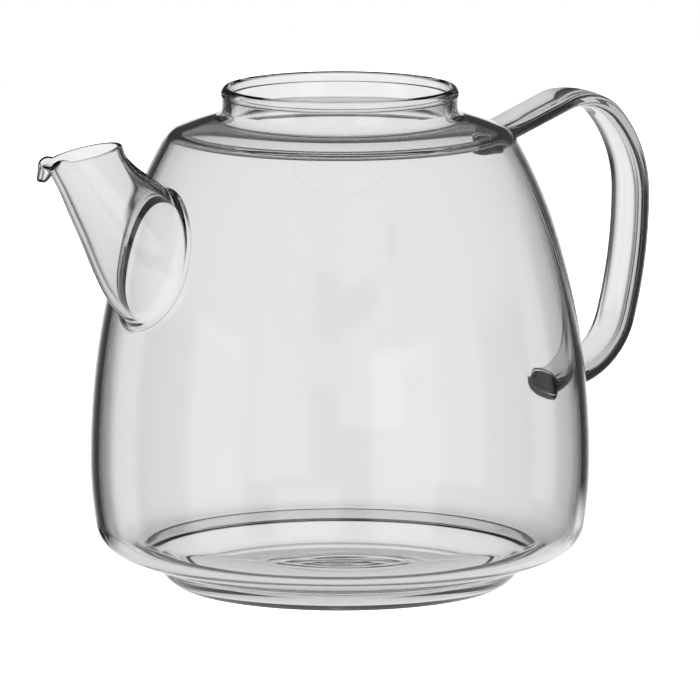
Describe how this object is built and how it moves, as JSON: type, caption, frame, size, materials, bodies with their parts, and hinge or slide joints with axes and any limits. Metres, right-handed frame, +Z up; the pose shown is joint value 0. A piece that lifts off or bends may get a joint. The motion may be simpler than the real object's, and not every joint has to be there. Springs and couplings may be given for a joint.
{
  "type": "glass teapot",
  "caption": "Clear blown glass teapot without its lid: conical vessel on a stepped foot, open neck, slanting spout with a pouring lip and a flat strap handle, all fused with glass gathers.",
  "frame": {"origin": "centre of the foot's resting plane, on the vessel's axis", "axes": "+Z up along the vessel's axis, +Y towards the spout's lip, -Y towards the handle"},
  "size_m": [0.132, 0.1814, 0.1318],
  "materials": {
    "vessel": "clear, fire-polished blown glass",
    "spout": "clear, fire-polished drawn glass",
    "spout_gather": "clear, flame-melted glass",
    "handle": "clear solid glass, polished",
    "upper_handle_gather": "clear, flame-melted glass",
    "lower_handle_gather": "clear, flame-melted glass"
  },
  "bodies": {
    "root": {"vessel": "vessel", "spout": "spout", "spout_gather": "spout_gather", "handle": "handle", "upper_handle_gather": "upper_handle_gather", "lower_handle_gather": "lower_handle_gather"}
  },
  "joints": []
}
